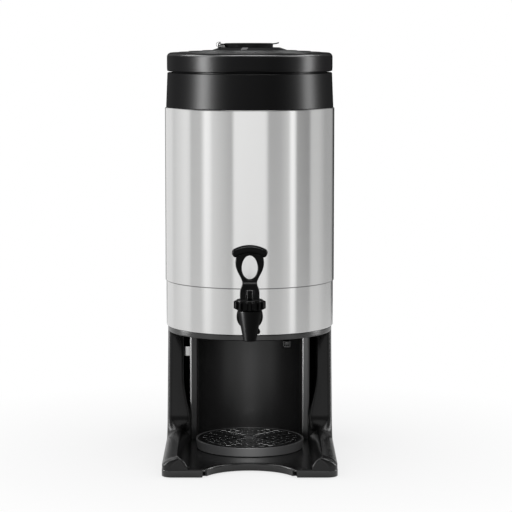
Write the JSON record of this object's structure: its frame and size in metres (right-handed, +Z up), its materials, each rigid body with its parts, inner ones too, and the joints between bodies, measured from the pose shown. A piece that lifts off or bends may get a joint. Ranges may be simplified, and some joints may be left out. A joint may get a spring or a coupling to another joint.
{
  "type": "insulated coffee dispenser",
  "caption": "Tall insulated coffee server: brushed steel jacket round a vacuum flask, black lid with flip cap, lever tap at the front, and a stand with a cup bay and drip tray.",
  "frame": {"origin": "middle of the footprint's bounding box, on the table", "axes": "+Z up along the vessel's axis, -Y towards the tap and the front, +X to the right seen from the front"},
  "size_m": [0.23, 0.361, 0.548],
  "materials": {
    "gloss_black": "glossy moulded black",
    "satin_black": "satin moulded black",
    "brushed_steel": "brushed stainless steel",
    "liner_steel": "plain stainless steel",
    "bright_wire": "bright drawn wire and pins",
    "screw_steel": "zinc plated steel",
    "grey_plastic": "matt mid grey",
    "soft_rubber": "matt black rubber",
    "clear_silicone": "milky silicone"
  },
  "bodies": {
    "server": {"base_plate": "gloss_black", "base_pads": "soft_rubber", "base_screws": "screw_steel", "left_leg": "gloss_black", "right_leg": "gloss_black", "rear_shell": "gloss_black", "alcove_panel": "satin_black", "panel_clip": "brushed_steel", "body_ring": "gloss_black", "ring_screws": "screw_steel", "steel_skirt": "brushed_steel", "steel_shell": "brushed_steel", "top_collar": "satin_black", "flask_jacket": "liner_steel", "flask_liner": "liner_steel", "flask_cradle": "satin_black", "outlet_hose": "clear_silicone", "tap_body": "gloss_black", "tap_flange_nut": "gloss_black", "tap_washers": "soft_rubber", "tap_lock_nut": "grey_plastic", "bonnet_nut": "satin_black", "valve_spring": "bright_wire"},
    "lid": {"lid_shell": "satin_black", "vent_block": "grey_plastic", "lid_plug": "satin_black", "lid_gasket": "soft_rubber", "brew_funnel": "satin_black", "cap_hinge_pin": "bright_wire", "cap_spring": "bright_wire"},
    "cap": {"flip_cap": "satin_black", "cap_seal": "soft_rubber"},
    "stem": {"tap_stem": "bright_wire", "seat_cup": "clear_silicone"},
    "lever": {"tap_lever": "gloss_black", "lever_pin": "bright_wire"},
    "tray": {"drip_tray": "satin_black"},
    "grate": {"drip_grate": "gloss_black"}
  },
  "joints": [
    {"name": "lid_lift", "type": "slide", "parent": "server", "child": "lid", "axis": [0, 0, 1], "range_m": [0, 0.09]},
    {"name": "cap_flip", "type": "hinge", "parent": "lid", "child": "cap", "pos_m": [-0.0406, 0.0655, 0.5444], "axis": [0, -1, 0], "range_deg": [0, 105], "stiffness_Nm_per_rad": 0.02, "springref_deg": -28.65},
    {"name": "stem_lift", "type": "slide", "parent": "server", "child": "stem", "axis": [0, 0, 1], "range_m": [0, 0.0042], "deforming": ["valve_spring"]},
    {"name": "lever_tilt", "type": "hinge", "parent": "stem", "child": "lever", "pos_m": [0, -0.0925, 0.224], "axis": [1, 0, 0], "range_deg": [0, 32], "stiffness_Nm_per_rad": 0.25, "springref_deg": -20.05},
    {"name": "tray_slide", "type": "slide", "parent": "server", "child": "tray", "axis": [0, -1, 0], "range_m": [0, 0.16]},
    {"name": "grate_lift", "type": "slide", "parent": "tray", "child": "grate", "axis": [0, 0, 1], "range_m": [0, 0.05]}
  ],
  "couplings": [
    {"joint": "stem_lift", "follows": "lever_tilt", "m_per_rad": 0.0075}
  ]
}
